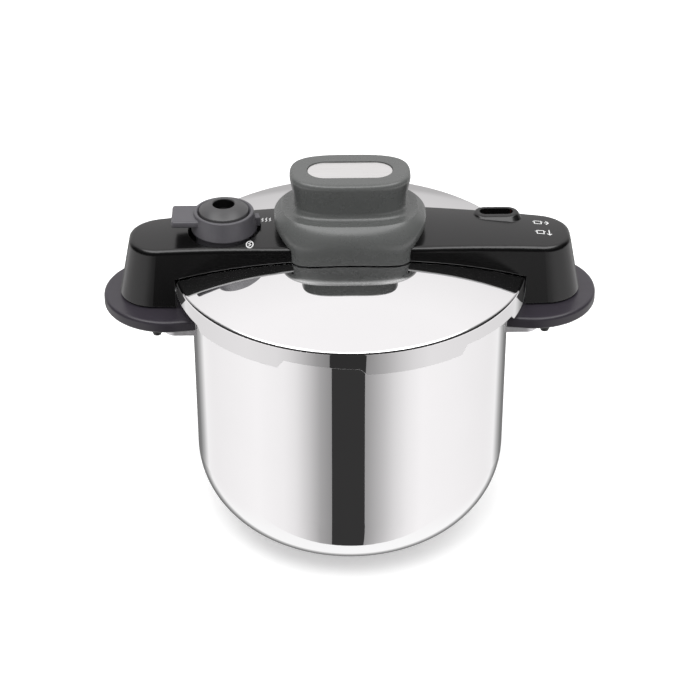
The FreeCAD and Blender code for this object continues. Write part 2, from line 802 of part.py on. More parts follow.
def make_bridge_tray():
    """Tray that closes the underside of the bar and sits over the lid."""
    gap, thick, fit = num("bar_lid_gap"), num("tray_thick"), num("tray_fit")
    low, wall = num("bar_low"), num("bar_wall")
    inner = bar_solid(wall + fit)
    lid_space = under_dome(gap, low - 1, lid_radius + gap)
    over_lid = inner.common(under_dome(gap + thick, low - 1, lid_radius + gap + thick))
    feet = inner.common(block(-200, 200, -60, 60, low, low + thick))
    tray = over_lid.fuse(feet).cut(lid_space)
    holes = [(x, 0.0, STUD_HOLE_RADIUS) for x in STUD_PLACES]
    holes += [(0.0, 0.0, KNOB_STUD_HOLE_RADIUS), (num("valve_x"), 0.0, DUCT_ROOM_RADIUS),
              (num("indicator_x"), num("indicator_y"), INDICATOR_ROOM_RADIUS),
              (num("safety_x"), num("safety_y"), SAFETY_ROOM_RADIUS)]
    for x, y, radius in holes:
        tray = tray.cut(cylinder(radius, UNDER_BAR, ABOVE_BAR, x, y))
    feature_part("bridge_tray", largest_solid(tray.removeSplitter()))


def make_bridge_fixings():
    """Studs welded to the lid, and the nuts that hold the bar down on them."""
    nut_high, thread_over_nut = 4.0, 1.0
    studs = []
    nuts = []
    for x in STUD_PLACES:
        seat = arch_height(x) + SEAT_GAP
        nut_top = seat + nut_high
        shank = cylinder(STUD_RADIUS, dome_height(abs(x)) - 2, nut_top + thread_over_nut, x)
        studs.append(shank.cut(under_dome(0.0, 180, lid_radius)))
        bore = cylinder(STUD_RADIUS + 0.05, UNDER_BAR, nut_top + 1, x)
        nuts.append(hexagon(8.0, seat, nut_top, x).cut(bore))
    feature_part("lid_studs", Part.makeCompound(studs))
    feature_part("bridge_nuts", Part.makeCompound(nuts))


# ----------------------------------------------------------------------------
# Knob
# ----------------------------------------------------------------------------
INSERT_TOP = 257.5
INSERT_RADIUS = 5.5
NUT_ROOM_HALF_LENGTH = 43.0
NUT_ROOM_HALF_WIDTH = 9.0
NUT_ROOM_TOP = 241.0


def knob_apron():
    """Wide skirt of the knob: upright sides astride the bar, then a flare and a shoulder."""
    crest = num("knob_apron_crest")
    sections = [
        (214.0, 43.6, 38.8, 5.5),
        (222.0, 43.8, 39.2, 5.2),
        (229.0, 45.4, 39.7, 4.4),
        (236.0, 50.4, 40.2, 3.2),
        (240.5, 52.6, 39.2, 2.7),
        (244.8, 50.6, 36.4, 2.7),
        (crest, 46.6, 32.4, 2.8),
    ]
    return Part.makeLoft([superellipse(half_x, half_y, power, level)
                          for level, half_x, half_y, power in sections], True, False)


def knob_grip():
    """Upright grip, a little wider at its rounded rim than at its neck."""
    top, crest = num("knob_top"), num("knob_apron_crest")
    half_x, half_y = num("knob_grip_half_length"), num("knob_grip_half_width")
    sections = [
        (crest - 4, half_x - 4.0, half_y - 2.8, 3.0),
        (crest + 7, half_x - 3.6, half_y - 2.5, 3.0),
        (top - 6, half_x - 0.9, half_y - 0.6, 3.0),
        (top, half_x, half_y, 3.0),
    ]
    grip = Part.makeLoft([superellipse(wide, deep, power, level)
                          for level, wide, deep, power in sections], True, False)
    rim = [edge for edge in grip.Edges if abs(edge.CenterOfMass.z - top) < 0.05]
    return grip.makeFillet(3.4, rim)


def make_knob():
    top, crest = num("knob_top"), num("knob_apron_crest")
    knob = knob_apron().fuse(knob_grip())
    neck = [edge for edge in knob.Edges
            if abs(edge.CenterOfMass.z - crest) < 0.3
            and edge.BoundBox.YMax < num("knob_grip_half_width") + 2]
    knob = knob.makeFillet(4.4, neck)
    knob = knob.cut(bar_solid(-num("knob_gap")))
    knob = knob.cut(under_dome(num("bar_lid_gap"), 180, lid_radius))
    inlay_half, inlay_radius = num("knob_inlay_half_length"), num("knob_inlay_radius")
    floor = num("knob_inlay_top") - num("knob_inlay_thick")
    knob = knob.cut(stadium(inlay_half + 0.2, inlay_radius + 0.2, floor, top + 5))
    knob = knob.cut(block(-NUT_ROOM_HALF_LENGTH, NUT_ROOM_HALF_LENGTH, -NUT_ROOM_HALF_WIDTH,
                          NUT_ROOM_HALF_WIDTH, 220, NUT_ROOM_TOP))
    knob = knob.cut(cylinder(INSERT_RADIUS + 0.1, 220, INSERT_TOP + 0.5))
    feature_part("knob_body", largest_solid(knob.removeSplitter()))
    inlay = stadium(inlay_half, inlay_radius, floor, num("knob_inlay_top"))
    inlay_rim = [edge for edge in inlay.Edges
                 if edge.BoundBox.ZMin > num("knob_inlay_top") - 0.01]
    feature_part("knob_inlay", inlay.makeFillet(0.4, inlay_rim))
    stud_top = INSERT_TOP - 1.5
    stud = cylinder(KNOB_STUD_RADIUS, apex - 2, stud_top).cut(under_dome(0.0, 180, lid_radius))
    feature_part("knob_stud", stud)
    thread = cylinder(KNOB_STUD_RADIUS + 0.05, 230, stud_top + 0.5)
    feature_part("knob_insert", cylinder(INSERT_RADIUS, NUT_ROOM_TOP, INSERT_TOP).cut(thread))


# ----------------------------------------------------------------------------
# Operating valve on the left of the bar
# ----------------------------------------------------------------------------
def make_valve_ring():
    """Turning collar with a lever tab on one side and a pointer on the other."""
    low, top, bore = num("valve_low"), num("valve_ring_top"), num("valve_ring_bore")
    wide, narrow, skirt_low = (num("valve_ring_radius"), num("valve_ring_top_radius"),
                               num("valve_skirt_low"))
    neck = cylinder(num("valve_neck_radius"), low, skirt_low + 1)
    skirt = Part.makeCone(wide, narrow, top - skirt_low, Vector(0, 0, skirt_low), UP)
    crown = [edge for edge in skirt.Edges if edge.BoundBox.ZMin > top - 0.01]
    hem = [edge for edge in skirt.Edges if edge.BoundBox.ZMax < skirt_low + 0.01]
    skirt = skirt.makeFillet(1.2, crown + hem)
    half, reach, root = num("lever_width") / 2, num("lever_reach"), 12.0
    lever = block(-reach, -root, -half, half, num("lever_low"), num("lever_high"))
    corners = [edge for edge in lever.Edges
               if edge.BoundBox.XMax < -reach + 0.01 or edge.BoundBox.YLength < 0.01]
    corners = [edge for edge in corners if edge.BoundBox.XMin < -root - 0.01]
    lever = lever.makeFillet(1.9, corners)
    pointer = block(root, num("pointer_reach"), -3.4, 3.4, num("pointer_low"), num("pointer_high"))
    pointer.rotate(Vector(), UP, num("pointer_angle"))
    ring = neck.multiFuse([skirt, lever, pointer]).removeSplitter()
    ring = ring.cut(cylinder(bore, low - 1, top + 1))
    bevel_high = 1.8
    ring = ring.cut(Part.makeCone(bore, bore + 1.5, bevel_high,
                                  Vector(0, 0, top - bevel_high + 0.1), UP))
    feature_part("valve_ring", ring, Placement(Vector(num("valve_x"), 0, 0), Rotation()))


def make_operating_valve():
    x = dim("valve_x")
    make_valve_ring()
    low, cap, hole = dim("valve_low") + 0.4, dim("valve_cap_radius"), dim("valve_hole_radius")
    top, chamber = dim("valve_cap_top"), dim("valve_chamber")
    ceiling, throat, duct = top - 10, dim("valve_throat"), dim("duct_radius")
    turned_part("valve_cap", [
        (chamber, low),
        (cap, low),
        (cap, top - 4.6),
        (hole + 1.0, top, 28),
        (hole, top - 1.0, 1.0),
        (hole - 1.2, top - 7),
        (throat, top - 7),
        (throat, ceiling),
        (chamber, ceiling),
    ], x)
    flange = 8.2
    flange_high = dome_height(num("valve_x") - flange, -num("lid_wall")) - 0.3
    duct_top = dim("duct_top")
    turned_part("steam_duct", [
        (2, flange_high - 3),
        (flange, flange_high - 3),
        (flange, flange_high),
        (duct, flange_high),
        (duct, duct_top - 1),
        (2.8, duct_top),
        (2, duct_top),
    ], x)
    duct_bore = duct.value + 0.05
    ring_gasket("steam_duct_gasket", flange - 0.2, duct_bore, flange_high, x.value, 0.0)
    lock_nut("steam_duct_nut", 13.0, duct_bore, 3.2, x.value, 0.0)
    seat, rod_top = duct_top + 0.3, top - 14.5
    turned_part("valve_needle", [
        (0, duct_top - 1.4),
        (1.2, duct_top - 1.4),
        (1.7, seat),
        (5.2, seat),
        (5.2, seat + 3.7),
        (2.0, seat + 3.7),
        (2.0, rod_top),
        (0, rod_top),
    ], x)
    turned_part("valve_spring", [
        (2.5, seat + 4),
        (4.2, seat + 4),
        (4.2, ceiling - 0.3),
        (2.5, ceiling - 0.3),
    ], x)


def ring_gasket(label, outer, inner, low, x, y):
    """Soft washer pressed to the curve of the lid's underside."""
    distance = math.hypot(x, y)
    tall = cylinder(outer, low, dome_height(distance) + 6, x, y)
    gasket = tall.cut(cylinder(inner, low - 1, 300, x, y))
    gasket = gasket.common(under_dome(-num("lid_wall") - 0.02, 180, lid_radius))
    feature_part(label, largest_solid(gasket))


def lock_nut(label, flats, bore, thick, x, y):
    """Hexagon nut seated on the outside of the lid."""
    corner = flats / math.sqrt(3)
    seat = dome_height(math.hypot(x, y) - corner) + 0.05
    nut = hexagon(flats, seat, seat + thick, x, y).cut(cylinder(bore, 200, 300, x, y))
    feature_part(label, nut)


# ----------------------------------------------------------------------------
# Pressure indicator and safety valve
# ----------------------------------------------------------------------------
FLANGE_SEAT = 0.3
SLIDING_FIT = 0.08
PRESSED_FIT = 0.05


def make_indicator():
    """Guide through the lid, and the pin that pressure pushes up into the window."""
    x, y, bore = dim("indicator_x"), dim("indicator_y"), dim("indicator_bore")
    distance = math.hypot(x.value, y.value)
    flange, hole = num("indicator_flange_radius"), num("indicator_hole_radius")
    neck = hole - 0.1
    high = dome_height(distance + flange, -num("lid_wall")) - FLANGE_SEAT
    low, guide_top = high - 1.8, high + 6.4
    turned_part("indicator_guide", [
        (bore, low), (flange, low), (flange, high), (neck, high),
        (neck, guide_top), (bore, guide_top)], x, y)
    ring_gasket("indicator_gasket", flange - 0.1, neck + PRESSED_FIT, high, x.value, y.value)
    stop = Dim.of(low) - dim("indicator_travel") - FLANGE_SEAT
    pin, groove_low = bore - SLIDING_FIT, stop - 1.5
    shoulder, neck_top, tip = high + 7.4, high + 13.2, high + 14.0
    turned_part("indicator_pin", [
        (0, groove_low - 1.5), (4.0, groove_low - 1.5), (4.0, groove_low), (pin, groove_low),
        (pin, shoulder), (3.3, shoulder), (3.3, neck_top), (2.5, tip, 0.8), (0, tip)], x, y)
    seal_low, seal_inner = groove_low + PRESSED_FIT, pin + PRESSED_FIT
    turned_part("indicator_seal", [
        (seal_inner, seal_low), (4.4, seal_low), (4.4, stop), (seal_inner, stop)], x, y)


def make_safety_valve():
    """Spring-loaded plunger in a threaded body, with its nut on top of the lid."""
    x, y, bore = dim("safety_x"), dim("safety_y"), dim("safety_bore")
    distance = math.hypot(x.value, y.value)
    flange, neck = num("safety_flange_radius"), num("safety_hole_radius") - 0.1
    inlet, vent, cap_low, cap_high = 1.5, 1.2, 222.4, 223.6
    high = dome_height(distance + flange, -num("lid_wall")) - FLANGE_SEAT
    low = high - 3
    chamber = low + 1.4
    turned_part("safety_valve_body", [
        (inlet, low), (flange, low), (flange, high), (neck, high), (neck, cap_high),
        (vent, cap_high), (vent, cap_low), (bore, cap_low), (bore, chamber), (inlet, chamber)],
        x, y)
    thread = neck + PRESSED_FIT
    ring_gasket("safety_valve_gasket", flange - 0.2, thread, high, x.value, y.value)
    lock_nut("safety_valve_nut", 12.4, thread, 2.4, x.value, y.value)
    seat = chamber + 0.1
    head, stem_top, stem = seat + 3, seat + 6, 1.4
    plunger = bore - SLIDING_FIT
    turned_part("safety_plunger", [
        (0, seat), (plunger, seat), (plunger, head), (stem, head), (stem, stem_top),
        (0, stem_top)], x, y)
    coil_inner, coil_outer, coil_low, coil_high = 1.7, 2.9, head + 0.2, cap_low - 0.2
    turned_part("safety_spring", [
        (coil_inner, coil_low), (coil_outer, coil_low), (coil_outer, coil_high),
        (coil_inner, coil_high)], x, y)


make_pot_vessel()
make_base()
make_pot_handles()
make_lid_seal()
make_lid_shell()
make_bridge_cover()
make_bridge_tray()
make_bridge_fixings()
make_knob()
make_operating_valve()
make_indicator()
make_safety_valve()

# ----------------------------------------------------------------------------
# Check every object, then write one STEP file for each sub-part
# ----------------------------------------------------------------------------
doc.recompute()
for item in doc.Objects:
    broken = [state for state in item.State if state in ("Invalid", "Error")]
    if broken:
        raise RuntimeError(f"{item.Label} is {broken}")

os.makedirs("parts", exist_ok=True)
for item in SUBPARTS:
    shape = item.Shape
    if shape.isNull() or not shape.isValid() or not shape.Solids:
        raise RuntimeError(f"{item.Label} has no valid solid")
    box = shape.BoundBox
    print(f"{item.Label:24s} solids {len(shape.Solids)} volume {shape.Volume:10.1f} "
          f"x {box.XMin:7.1f} {box.XMax:7.1f} y {box.YMin:7.1f} {box.YMax:7.1f} "
          f"z {box.ZMin:6.1f} {box.ZMax:6.1f}")
    shape.exportStep(f"parts/{item.Label}.step")
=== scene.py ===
# Looks of the bayonet pressure cooker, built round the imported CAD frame. Lengths are in metres.
import json
import math

import bmesh
import bpy
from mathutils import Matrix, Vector
from mathutils.bvhtree import BVHTree


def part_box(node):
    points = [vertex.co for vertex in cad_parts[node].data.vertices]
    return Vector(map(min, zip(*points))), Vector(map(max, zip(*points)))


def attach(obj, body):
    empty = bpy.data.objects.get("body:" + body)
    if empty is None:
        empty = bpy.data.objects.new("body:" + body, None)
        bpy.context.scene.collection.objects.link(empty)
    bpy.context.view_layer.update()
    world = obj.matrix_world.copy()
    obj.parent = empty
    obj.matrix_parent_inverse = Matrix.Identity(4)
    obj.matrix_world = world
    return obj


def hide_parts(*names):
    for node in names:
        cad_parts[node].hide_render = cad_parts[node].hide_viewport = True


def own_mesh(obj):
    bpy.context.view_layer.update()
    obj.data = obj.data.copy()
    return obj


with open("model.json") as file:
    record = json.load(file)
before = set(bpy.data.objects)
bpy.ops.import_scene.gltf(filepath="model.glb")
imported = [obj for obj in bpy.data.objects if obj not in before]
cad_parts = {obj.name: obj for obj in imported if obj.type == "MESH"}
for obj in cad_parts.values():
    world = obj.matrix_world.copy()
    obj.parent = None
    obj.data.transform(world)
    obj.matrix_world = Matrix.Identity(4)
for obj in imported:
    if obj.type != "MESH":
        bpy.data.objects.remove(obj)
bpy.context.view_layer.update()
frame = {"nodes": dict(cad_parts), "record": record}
NODES = frame["nodes"]
MM = 0.001
POT_RADIUS = 111.5 * MM
POT_ROUNDING = 58.0 * MM
POT_WALL = 1.5 * MM
VALVE_X = -87.0 * MM
WELL_RADIUS, WELL_TOP = 25.2 * MM, 228.5 * MM
CAP_BORE_RADIUS, CAP_BORE_TOP = 7.8 * MM, 249.3 * MM
LID_CREASE = 204.8 * MM
HEM_DROP = 1.6 * MM
WHITE = (1.0, 1.0, 1.0, 1.0)
# Painted shade: the black painted inside deep bores.
BORE_SHADE_BLACK = (0.002, 0.002, 0.002, 1.0)


# ----------------------------------------------------------------------------
# Node helpers
# ----------------------------------------------------------------------------
class Tree:
    """Short calls for building a node tree."""

    def __init__(self, tree):
        self.tree = tree
        tree.nodes.clear()

    def add(self, kind, inputs=None, **settings):
        node = self.tree.nodes.new(kind)
        for name, value in settings.items():
            setattr(node, name, value)
        for name, value in (inputs or {}).items():
            self.feed(node.inputs[name], value)
        return node

    def feed(self, socket, value):
        if isinstance(value, bpy.types.NodeSocket):
            self.tree.links.new(value, socket)
        else:
            socket.default_value = value

    def math(self, operation, first, second=0.0, clamp=False):
        node = self.add("ShaderNodeMath", operation=operation, use_clamp=clamp)
        self.feed(node.inputs[0], first)
        self.feed(node.inputs[1], second)
        return node.outputs[0]

    def ramp(self, factor, stops):
        node = self.add("ShaderNodeValToRGB", {"Fac": factor})
        ramp = node.color_ramp
        while len(ramp.elements) > 1:
            ramp.elements.remove(ramp.elements[-1])
        for index, (position, colour) in enumerate(stops):
            stop = ramp.elements[0] if index == 0 else ramp.elements.new(position)
            stop.position = position
            if isinstance(colour, (int, float)):
                colour = (colour, colour, colour)
            stop.color = (*colour, 1.0)
        return node.outputs["Color"]

    def mix(self, factor, first, second, blend="MIX"):
        node = self.add("ShaderNodeMix", data_type="RGBA", blend_type=blend)
        self.feed(node.inputs["Factor"], factor)
        self.feed(node.inputs["A"], first)
        self.feed(node.inputs["B"], second)
        return node.outputs["Result"]

    def squares(self, first, second):
        """Sum of two squares."""
        return self.math("ADD", self.math("MULTIPLY", first, first),
                         self.math("MULTIPLY", second, second))

    def span(self, value, low, high, to_low, to_high, smooth=False):
        kind = "SMOOTHSTEP" if smooth else "LINEAR"
        node = self.add("ShaderNodeMapRange", interpolation_type=kind)
        for name, item in (("Value", value), ("From Min", low), ("From Max", high),
                           ("To Min", to_low), ("To Max", to_high)):
            self.feed(node.inputs[name], item)
        return node.outputs["Result"]

    def noise(self, vector, scale, detail=3.0, roughness=0.5):
        node = self.add("ShaderNodeTexNoise", {
            "Vector": vector, "Scale": scale, "Detail": detail, "Roughness": roughness})
        return node.outputs["Fac"]

    def stretched(self, vector, scale):
        node = self.add("ShaderNodeMapping", {"Vector": vector, "Scale": scale})
        return node.outputs["Vector"]


def add_object(name, data):
    item = bpy.data.objects.new(name, data)
    bpy.context.scene.collection.objects.link(item)
    return item


def new_material(name):
    material = bpy.data.materials.new(name)
    material.use_nodes = True
    tree = Tree(material.node_tree)
    shader = tree.add("ShaderNodeBsdfPrincipled")
    output = tree.add("ShaderNodeOutputMaterial")
    tree.tree.links.new(shader.outputs["BSDF"], output.inputs["Surface"])
    place = tree.add("ShaderNodeTexCoord").outputs["Object"]
    return material, tree, shader, place


def soft_edges(tree, radius):
    """Normal that rounds sharp edges, so that they catch light."""
    return tree.add("ShaderNodeBevel", {"Radius": radius}, samples=8).outputs["Normal"]


def cut_edge(tree, radius):
    """1 along a sheet's cut edge, 0 a radius away from it."""
    flat = tree.add("ShaderNodeNewGeometry").outputs["Normal"]
    node = tree.add("ShaderNodeVectorMath", {0: flat, 1: soft_edges(tree, radius)},
                    operation="DOT_PRODUCT")
    return tree.span(node.outputs["Value"], 0.98, 0.86, 0.0, 1.0, smooth=True)


def bumped(tree, height, strength, distance):
    node = tree.add("ShaderNodeBump", {"Strength": strength, "Distance": distance,
                                       "Height": height})
    return node.outputs["Normal"]


def below_height(tree, place, level):
    """1 where the surface lies under a height, 0 over it."""
    height = tree.add("ShaderNodeSeparateXYZ", {"Vector": place}).outputs["Z"]
    return tree.math("LESS_THAN", height, level)


def inside_bore(tree, place, x, radius, ceiling):
    """1 inside an upright bore of the left valve, under a height."""
    axes = tree.add("ShaderNodeSeparateXYZ", {"Vector": place}).outputs
    away = tree.math("SUBTRACT", axes["X"], x)
    near = tree.math("LESS_THAN", tree.squares(away, axes["Y"]), radius * radius)
    return tree.math("MULTIPLY", near, tree.math("LESS_THAN", axes["Z"], ceiling))


def inside_pot(tree, place):
    """1 on the pot's inner faces: nearer than mid-wall to the core of its rounding."""
    axes = tree.add("ShaderNodeSeparateXYZ", {"Vector": place}).outputs
    radius = tree.math("SQRT", tree.squares(axes["X"], axes["Y"]))
    out = tree.math("MAXIMUM", tree.math("SUBTRACT", radius, POT_RADIUS - POT_ROUNDING), 0.0)
    down = tree.math("MINIMUM", tree.math("SUBTRACT", axes["Z"], POT_ROUNDING), 0.0)
    mid_wall = POT_ROUNDING - POT_WALL / 2
    return tree.math("LESS_THAN", tree.squares(out, down), mid_wall ** 2)


def shaded(colour, factor):
    return tuple(min(1.0, channel * factor) for channel in colour) + (1.0,)


# ----------------------------------------------------------------------------
# Materials
# ----------------------------------------------------------------------------
def polished_steel(name, tint=(0.93, 0.925, 0.93), gloss=0.016, hem=None, satin=False):
    """Mirror-polished steel: buffing haze, faint wipe marks and hairlines round the axis.

    Under the height hem the sheet is painted a tone darker as painted shade, and its cut edge is
    painted white as a painted highlight.
    A satin pot is scoured inside its wall, which spreads what it mirrors.
    """
    material, tree, shader, place = new_material(name)
    haze = tree.noise(place, 9.0, 4.0, 0.55)
    wipes = tree.noise(tree.stretched(place, (60.0, 60.0, 8.0)), 3.0, 5.0, 0.6)
    fine = tree.noise(tree.stretched(place, (40.0, 40.0, 2600.0)), 1.0, 2.0, 0.5)
    colour = tree.mix(haze, shaded(tint, 0.965), shaded(tint, 1.03))
    worn = tree.math("ADD", tree.span(haze, 0.3, 0.75, gloss * 0.6, gloss * 1.6),
                     tree.span(wipes, 0.45, 0.8, 0.0, gloss * 1.1))
    if hem is not None:
        # Painted shade: the skirt under the hem is painted a tone darker than the dome.
        painted_shade_skirt = below_height(tree, place, hem)
        colour = tree.mix(painted_shade_skirt, colour, shaded(tint, 0.83))
        # Painted highlight: the skirt's cut edge is painted white, and made rougher, to stand for
        # light caught by its rounding.
        hem_highlight = tree.math("MULTIPLY", painted_shade_skirt, cut_edge(tree, 0.5 * MM))
        colour = tree.mix(hem_highlight, colour, WHITE)
        worn = tree.math("ADD", worn, tree.math("MULTIPLY", hem_highlight, 0.6))
    if satin:
        scoured = inside_pot(tree, place)
        colour = tree.mix(scoured, colour, shaded(tint, 0.80))
        scratches = tree.span(fine, 0.3, 0.7, 0.20, 0.34)
        worn = tree.math("ADD", worn, tree.math("MULTIPLY", scoured, scratches))
    tree.feed(shader.inputs["Base Color"], colour)
    tree.feed(shader.inputs["Roughness"], worn)
    tree.feed(shader.inputs["Normal"], bumped(tree, fine, 0.004, 0.0002))
    shader.inputs["Metallic"].default_value = 1.0
    return material


def brushed_steel(name, tint, rough, grain=(900.0, 14.0, 14.0), depth=0.12):
    """Directional brushing along one axis, with tone and roughness that follow the grain."""
    material, tree, shader, place = new_material(name)
    strands = tree.noise(tree.stretched(place, grain), 1.0, 6.0, 0.65)
    cloud = tree.noise(place, 40.0, 3.0, 0.5)
    colour = tree.mix(strands, shaded(tint, 0.86), shaded(tint, 1.08))
    colour = tree.mix(tree.span(cloud, 0.35, 0.7, 0.0, 0.25), colour, shaded(tint, 0.9))
    tree.feed(shader.inputs["Base Color"], colour)
    tree.feed(shader.inputs["Roughness"], tree.span(strands, 0.2, 0.8, rough * 0.75, rough * 1.3))
    tree.feed(shader.inputs["Normal"], bumped(tree, strands, depth, 0.0002))
    shader.inputs["Metallic"].default_value = 1.0
    return material


def moulded_plastic(name, tint, rough, texture=0.10, specular=0.5, edge=0.05, wear=0.14,
                    bore_shade=None):
    """Moulded plastic: spark-eroded skin, soft tone drift, handling shine on raised edges with a
    painted highlight there, and painted shade in a bore.
    """
    material, tree, shader, place = new_material(name)
    skin = tree.noise(place, 1700.0, 2.0, 0.6)
    drift = tree.noise(place, 22.0, 3.0, 0.5)
    rub = tree.noise(place, 95.0, 4.0, 0.6)
    geometry = tree.add("ShaderNodeNewGeometry")
    raised = tree.span(geometry.outputs["Pointiness"], 0.51, 0.62, 0.0, 1.0)
    colour = tree.mix(drift, shaded(tint, 0.92), shaded(tint, 1.08))
    # Painted highlight: raised edges are painted lighter, as if they caught the light; the
    # roughness drop below is the handling shine.
    lit_edge = tuple(channel + edge * 0.3 for channel in tint) + (1.0,)
    colour = tree.mix(tree.math("MULTIPLY", raised, 0.5), colour, lit_edge)
    dulled = tree.span(rub, 0.3, 0.75, rough * (1 - wear), rough * (1 + wear))
    shine = tree.math("SUBTRACT", dulled, tree.math("MULTIPLY", raised, rough * 0.22))
    # Painted shade: the inside of the bore is painted black.
    if bore_shade:
        colour = tree.mix(inside_bore(tree, place, *bore_shade), colour, BORE_SHADE_BLACK)
    tree.feed(shader.inputs["Base Color"], colour)
    tree.feed(shader.inputs["Roughness"], shine)
    relief = tree.add("ShaderNodeBump", {
        "Strength": texture, "Distance": 0.03 * MM, "Height": skin,
        "Normal": soft_edges(tree, 0.6 * MM)})
    tree.feed(shader.inputs["Normal"], relief.outputs["Normal"])
    shader.inputs["Specular IOR Level"].default_value = specular
    return material


def silicone(name, tint, through=0.2):
    """Soft silicone: faint mould bloom, matte skin."""
    material, tree, shader, place = new_material(name)
    bloom = tree.noise(place, 60.0, 4.0, 0.6)
    skin = tree.noise(place, 1500.0, 2.0, 0.5)
    tree.feed(shader.inputs["Base Color"], tree.mix(bloom, shaded(tint, 0.9), shaded(tint, 1.08)))
    tree.feed(shader.inputs["Roughness"], tree.span(bloom, 0.3, 0.7, 0.48, 0.66))
    tree.feed(shader.inputs["Normal"], bumped(tree, skin, 0.15, 0.00006))
    shader.inputs["Subsurface Weight"].default_value = through
    shader.inputs["Subsurface Radius"].default_value = (0.004, 0.004, 0.004)
    shader.inputs["Subsurface Scale"].default_value = 0.5
    return material


def printed_white(name):
    """Pad-printed ink with slightly broken coverage."""
    material, tree, shader, place = new_material(name)
    grain = tree.noise(place, 1800.0, 3.0, 0.6)
    tree.feed(shader.inputs["Base Color"],
              tree.mix(grain, (0.62, 0.62, 0.62, 1.0), (0.86, 0.86, 0.86, 1.0)))
    tree.feed(shader.inputs["Roughness"], tree.span(grain, 0.3, 0.7, 0.45, 0.6))
    return material


def make_materials():
    across, upright = (14.0, 900.0, 14.0), (14.0, 14.0, 900.0)
    return {
        "base_steel": brushed_steel("base_steel", (0.62, 0.62, 0.63), 0.28, across),
        "spreader_aluminium": brushed_steel("spreader_aluminium", (0.74, 0.75, 0.77), 0.35),
        "bridge_plastic": moulded_plastic(
            "bridge_plastic", (0.0034, 0.0033, 0.0034), 0.21, texture=0.015, specular=0.55,
            edge=0.01, wear=0.05, bore_shade=(VALVE_X, WELL_RADIUS, WELL_TOP)),
        "tray_plastic": moulded_plastic("tray_plastic", (0.006, 0.006, 0.006), 0.45),
        "handle_plastic": moulded_plastic(
            "handle_plastic", (0.030, 0.026, 0.034), 0.34, texture=0.02),
        "knob_plastic": moulded_plastic(
            "knob_plastic", (0.088, 0.091, 0.089), 0.28, texture=0.008, specular=0.6, wear=0.08),
        "valve_plastic": moulded_plastic(
            "valve_plastic", (0.080, 0.077, 0.086), 0.34, texture=0.02),
        "valve_cap_plastic": moulded_plastic(
            "valve_cap_plastic", (0.060, 0.059, 0.061), 0.36, texture=0.02, wear=0.1,
            bore_shade=(VALVE_X, CAP_BORE_RADIUS, CAP_BORE_TOP)),
        "inlay_steel": brushed_steel(
            "inlay_steel", (0.97, 0.955, 0.94), 0.30, across, depth=0.05),
        "bracket_steel": brushed_steel("bracket_steel", (0.90, 0.89, 0.91), 0.48),
        "fastener_steel": brushed_steel("fastener_steel", (0.60, 0.60, 0.62), 0.30),
        "peg_rubber": moulded_plastic("peg_rubber", (0.010, 0.010, 0.010), 0.6),
        "seal_silicone": silicone("seal_silicone", (0.62, 0.62, 0.60)),
        "gasket_silicone": silicone("gasket_silicone", (0.50, 0.08, 0.06), through=0.05),
        "valve_steel": brushed_steel("valve_steel", (0.60, 0.60, 0.62), 0.22, upright),
        "valve_brass": brushed_steel("valve_brass", (0.72, 0.55, 0.26), 0.25, upright),
        "spring_steel": brushed_steel("spring_steel", (0.5, 0.5, 0.52), 0.3),
        "indicator_red": moulded_plastic("indicator_red", (0.30, 0.02, 0.016), 0.35),
    }


UNMIRRORED = ("pot_handle_left", "pot_handle_right", "handle_bracket_left",
              "handle_bracket_right", "handle_pegs", "handle_screws")


def node_slots():
    """Each CAD node's material slot, from the record."""
    return {entry["node"]: entry["material_slot"] for entry in frame["record"]["subparts"]}


def finish_cad_nodes(materials):
    """Give each CAD node its slot's material; lid and pot have their own polished steel.

    The handle pieces are kept out of reflections, as the photo's pot doesn't mirror them.
    """
    for node in UNMIRRORED:
        NODES[node].visible_glossy = False
    polished = {
        "lid_shell": polished_steel("lid_steel", hem=LID_CREASE - HEM_DROP),
        "pot_vessel": polished_steel("pot_steel", satin=True),
    }
    for node, slot in node_slots().items():
        mesh = NODES[node].data
        mesh.materials.clear()
        mesh.materials.append(polished[node] if node in polished else materials[slot])


# ----------------------------------------------------------------------------
# Coil springs inside the two valves
# ----------------------------------------------------------------------------
STEPS_PER_TURN = 24
WIRE_SIDES = 10


def coil_height(turn, turns, wire, length):
    """Height of the wire's core after some turns; the first and last turn lie closed."""
    open_turns = turns - 2
    if turn <= 1:
        rise = turn * wire
    elif turn >= turns - 1:
        rise = length - wire - (turns - turn) * wire
    else:
        rise = wire + (turn - 1) / open_turns * (length - 3 * wire)
    return wire / 2 + rise


